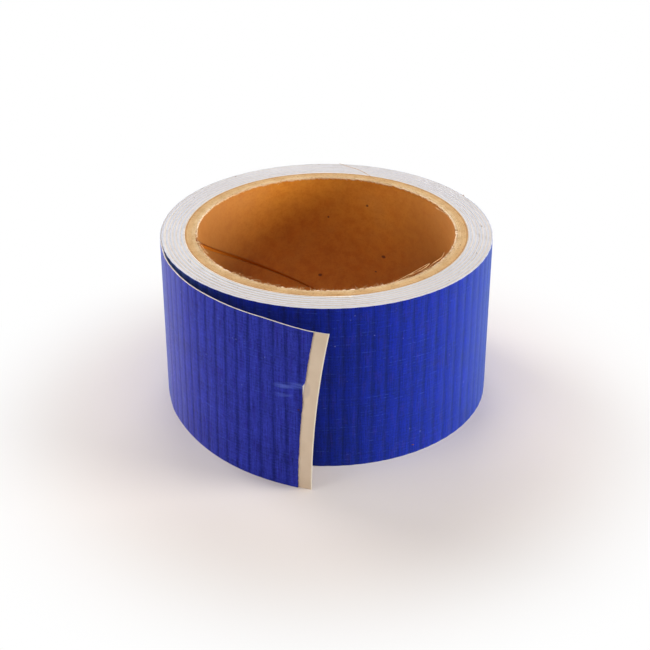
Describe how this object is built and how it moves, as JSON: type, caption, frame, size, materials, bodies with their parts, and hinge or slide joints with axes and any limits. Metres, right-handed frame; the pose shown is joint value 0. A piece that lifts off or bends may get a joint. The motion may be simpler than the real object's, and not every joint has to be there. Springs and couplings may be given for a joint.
{
  "type": "grip tape roll",
  "caption": "Roll of ribbed blue cloth grip tape on a paper core, with its free end and a strip of bare release liner standing off the roll.",
  "frame": {"origin": "centre of the core's bore at the roll's bottom face", "axes": "+Z along the roll's axis; +X to the right and -Y towards the side where the free end of the tape stands off"},
  "size_m": [0.0978, 0.1087, 0.0508],
  "materials": {
    "core_kraft": "smooth brown kraft paper",
    "core_board": "raw cut paperboard",
    "start_tape": "thin translucent film",
    "release_liner": "smooth cream release paper",
    "adhesive": "white rubber adhesive",
    "grip_fabric": "coated blue ribbed cloth"
  },
  "bodies": {
    "roll": {"core_inner_ply": "core_kraft", "core_body_ply_1": "core_board", "core_body_ply_2": "core_board", "core_body_ply_3": "core_board", "core_body_ply_4": "core_board", "core_body_ply_5": "core_board", "core_outer_ply": "core_board", "start_tape": "start_tape", "wound_liner": "release_liner", "wound_adhesive": "adhesive", "wound_fabric": "grip_fabric"},
    "tail_1": {"tail_liner_1": "release_liner", "tail_adhesive_1": "adhesive", "tail_fabric_1": "grip_fabric"},
    "tail_2": {"tail_liner_2": "release_liner", "tail_adhesive_2": "adhesive", "tail_fabric_2": "grip_fabric"},
    "tail_3": {"tail_liner_3": "release_liner", "tail_adhesive_3": "adhesive", "tail_fabric_3": "grip_fabric"},
    "tail_4": {"tail_liner_4": "release_liner", "tail_adhesive_4": "adhesive", "tail_fabric_4": "grip_fabric"},
    "liner_tab": {"liner_tab": "release_liner"}
  },
  "joints": [
    {"name": "tail_peel", "type": "hinge", "parent": "roll", "child": "tail_1", "pos_m": [-0.04839, -0.0073, 0.0254], "axis": [0, 0, -1], "range_deg": [-2.4, 11], "stiffness_Nm_per_rad": 0.005},
    {"name": "tail_bend_2", "type": "hinge", "parent": "tail_1", "child": "tail_2", "pos_m": [-0.0436, -0.02408, 0.0254], "axis": [0, 0, -1], "range_deg": [-3.84, 17.6], "stiffness_Nm_per_rad": 0.005},
    {"name": "tail_bend_3", "type": "hinge", "parent": "tail_2", "child": "tail_3", "pos_m": [-0.0344, -0.0389, 0.0254], "axis": [0, 0, -1], "range_deg": [-3.84, 17.6], "stiffness_Nm_per_rad": 0.005},
    {"name": "tail_bend_4", "type": "hinge", "parent": "tail_3", "child": "tail_4", "pos_m": [-0.02151, -0.05065, 0.0254], "axis": [0, 0, -1], "range_deg": [-3.84, 17.6], "stiffness_Nm_per_rad": 0.005},
    {"name": "liner_tab_fold", "type": "hinge", "parent": "tail_4", "child": "liner_tab", "pos_m": [-0.00559, -0.05815, 0.0254], "axis": [-0.0827, 0.0274, -0.9962], "range_deg": [0, 85], "stiffness_Nm_per_rad": 0.0005}
  ],
  "couplings": [
    {"joint": "tail_bend_2", "follows": "tail_peel", "ratio": 1.6},
    {"joint": "tail_bend_3", "follows": "tail_peel", "ratio": 1.6},
    {"joint": "tail_bend_4", "follows": "tail_peel", "ratio": 1.6}
  ]
}
